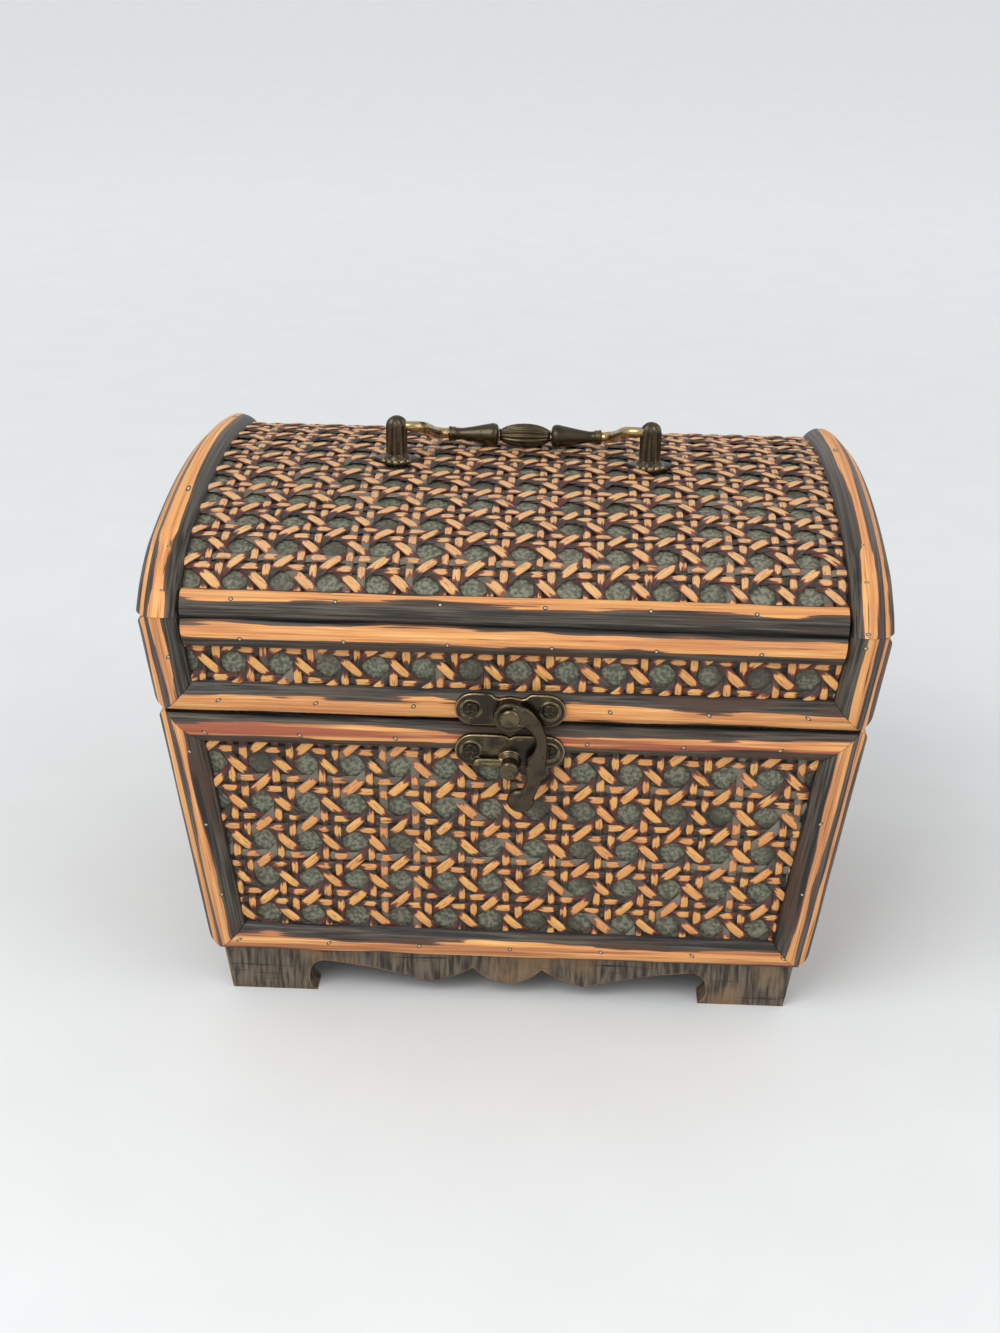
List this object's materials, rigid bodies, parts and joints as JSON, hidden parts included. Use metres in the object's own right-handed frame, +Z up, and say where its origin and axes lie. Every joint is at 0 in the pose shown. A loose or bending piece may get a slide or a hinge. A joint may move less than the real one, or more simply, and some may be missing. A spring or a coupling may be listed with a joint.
{
  "type": "dome-lidded keepsake box",
  "caption": "Small dome-lidded keepsake box in woven cane framed with split bamboo, on a scalloped plinth, with a hook latch and a swinging bail handle.",
  "frame": {"origin": "on the floor under the middle of the box", "axes": "+Z up, the front with the latch faces -Y, +X to the right seen from the front"},
  "size_m": [0.2008, 0.1586, 0.1578],
  "materials": {
    "woven_cane": "woven cane, burnt dark and sanded back on its raised strands",
    "split_bamboo": "split bamboo, scorched, sanded and waxed",
    "plinth_wood": "dark-stained sawn wood with rubbed edges",
    "box_boards": "plain dark-stained wood",
    "bronze": "antiqued brass, dark with worn bright edges"
  },
  "bodies": {
    "base": {"base_back_board": "box_boards", "base_back_cane": "woven_cane", "base_back_strips": "split_bamboo", "base_front_board": "box_boards", "base_front_cane": "woven_cane", "base_front_rail_strips": "split_bamboo", "base_front_stile_strips": "split_bamboo", "base_left_board": "box_boards", "base_left_cane": "woven_cane", "base_left_strips": "split_bamboo", "base_right_board": "box_boards", "base_right_cane": "woven_cane", "base_right_strips": "split_bamboo", "floor_board": "box_boards", "hinge_base_leaves": "bronze", "hinge_base_screws": "bronze", "hinge_pins": "bronze", "keeper_screws": "bronze", "latch_keeper": "bronze", "plinth_back": "plinth_wood", "plinth_front": "plinth_wood", "plinth_left": "plinth_wood", "plinth_right": "plinth_wood"},
    "lid": {"back_ridge_lower_strip": "split_bamboo", "back_ridge_upper_strip": "split_bamboo", "dome_board": "box_boards", "dome_cane": "woven_cane", "front_ridge_lower_strip": "split_bamboo", "front_ridge_upper_strip": "split_bamboo", "handle_nuts": "bronze", "hinge_lid_leaves": "bronze", "hinge_lid_screws": "bronze", "hook_plate_screws": "bronze", "latch_hook_plate": "bronze", "latch_rivet": "bronze", "left_arch_strip": "split_bamboo", "left_end_arch_strip": "split_bamboo", "left_handle_post": "bronze", "left_lunette_board": "box_boards", "lid_back_bottom_strip": "split_bamboo", "lid_back_cane": "woven_cane", "lid_back_rail": "box_boards", "lid_back_stile_strips": "split_bamboo", "lid_front_bottom_strip": "split_bamboo", "lid_front_cane": "woven_cane", "lid_front_rail": "box_boards", "lid_front_stile_strips": "split_bamboo", "lid_left_cane": "woven_cane", "lid_left_rail": "box_boards", "lid_left_strips": "split_bamboo", "lid_right_cane": "woven_cane", "lid_right_rail": "box_boards", "lid_right_strips": "split_bamboo", "right_arch_strip": "split_bamboo", "right_end_arch_strip": "split_bamboo", "right_handle_post": "bronze", "right_lunette_board": "box_boards"},
    "hook": {"latch_hook": "bronze"},
    "bail": {"handle_bail": "bronze"}
  },
  "joints": [
    {"name": "lid_hinge", "type": "hinge", "parent": "base", "child": "lid", "pos_m": [0, 0.07525, 0.09479], "axis": [-1, 0, 0], "range_deg": [0, 110]},
    {"name": "hook_swing", "type": "hinge", "parent": "lid", "child": "hook", "pos_m": [0, -0.07731, 0.09946], "axis": [0, -0.9954, -0.0958], "range_deg": [0, 270]},
    {"name": "bail_swing", "type": "hinge", "parent": "lid", "child": "bail", "pos_m": [0, 0, 0.1546], "axis": [1, 0, 0], "range_deg": [0, 225.5]}
  ]
}
